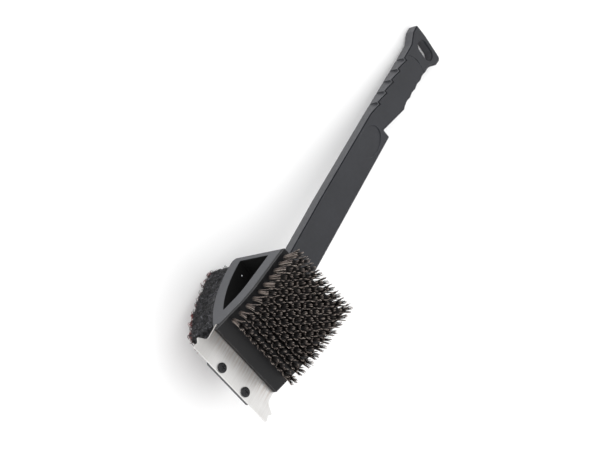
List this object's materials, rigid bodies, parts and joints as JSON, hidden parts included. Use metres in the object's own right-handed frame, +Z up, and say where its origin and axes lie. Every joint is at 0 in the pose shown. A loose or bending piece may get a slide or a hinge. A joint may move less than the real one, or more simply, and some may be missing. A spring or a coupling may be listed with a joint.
{
  "type": "grill cleaning brush",
  "caption": "Long-handled grill brush with a bristle block on one side of its wedge head, a scouring pad on the other and a notched steel scraper across the front.",
  "frame": {"origin": "bottom centre of the bounding box, on the surface that the brush lies on, bristles up, resting on its pad's back edge and its hang end", "axes": "+Z up, +X along the brush from the hang end to the scraper (the handle's own axis rises 8.56 degrees above +X), +Y across the brush"},
  "size_m": [0.4548, 0.1068, 0.1114],
  "materials": {
    "shell_plastic": "satin",
    "cover_plastic": "satin",
    "block_plastic": "satin",
    "bristle_nylon": "satin",
    "hook_nylon": "matte",
    "scouring_fibre": "matte",
    "scraper_steel": "satin",
    "anchor_wire": "satin",
    "zinc_screws": "satin",
    "black_screws": "satin"
  },
  "bodies": {
    "root": {"handle_rear_shell": "shell_plastic", "handle_front_cover": "cover_plastic", "handle_cover_screws": "zinc_screws", "handle_neck_screws": "zinc_screws", "head_frame": "shell_plastic", "bristle_block": "block_plastic", "bristle_block_screws": "zinc_screws", "bristle_row_01": "bristle_nylon", "bristle_row_02": "bristle_nylon", "bristle_row_03": "bristle_nylon", "bristle_row_04": "bristle_nylon", "bristle_row_05": "bristle_nylon", "bristle_row_06": "bristle_nylon", "bristle_row_07": "bristle_nylon", "bristle_row_08": "bristle_nylon", "bristle_row_09": "bristle_nylon", "bristle_row_10": "bristle_nylon", "tuft_anchors": "anchor_wire", "pad_plate": "block_plastic", "pad_plate_screws": "zinc_screws", "pad_hook_sheet": "hook_nylon", "scouring_pad": "scouring_fibre", "scraper_plate": "scraper_steel", "scraper_screws": "black_screws"}
  },
  "joints": []
}
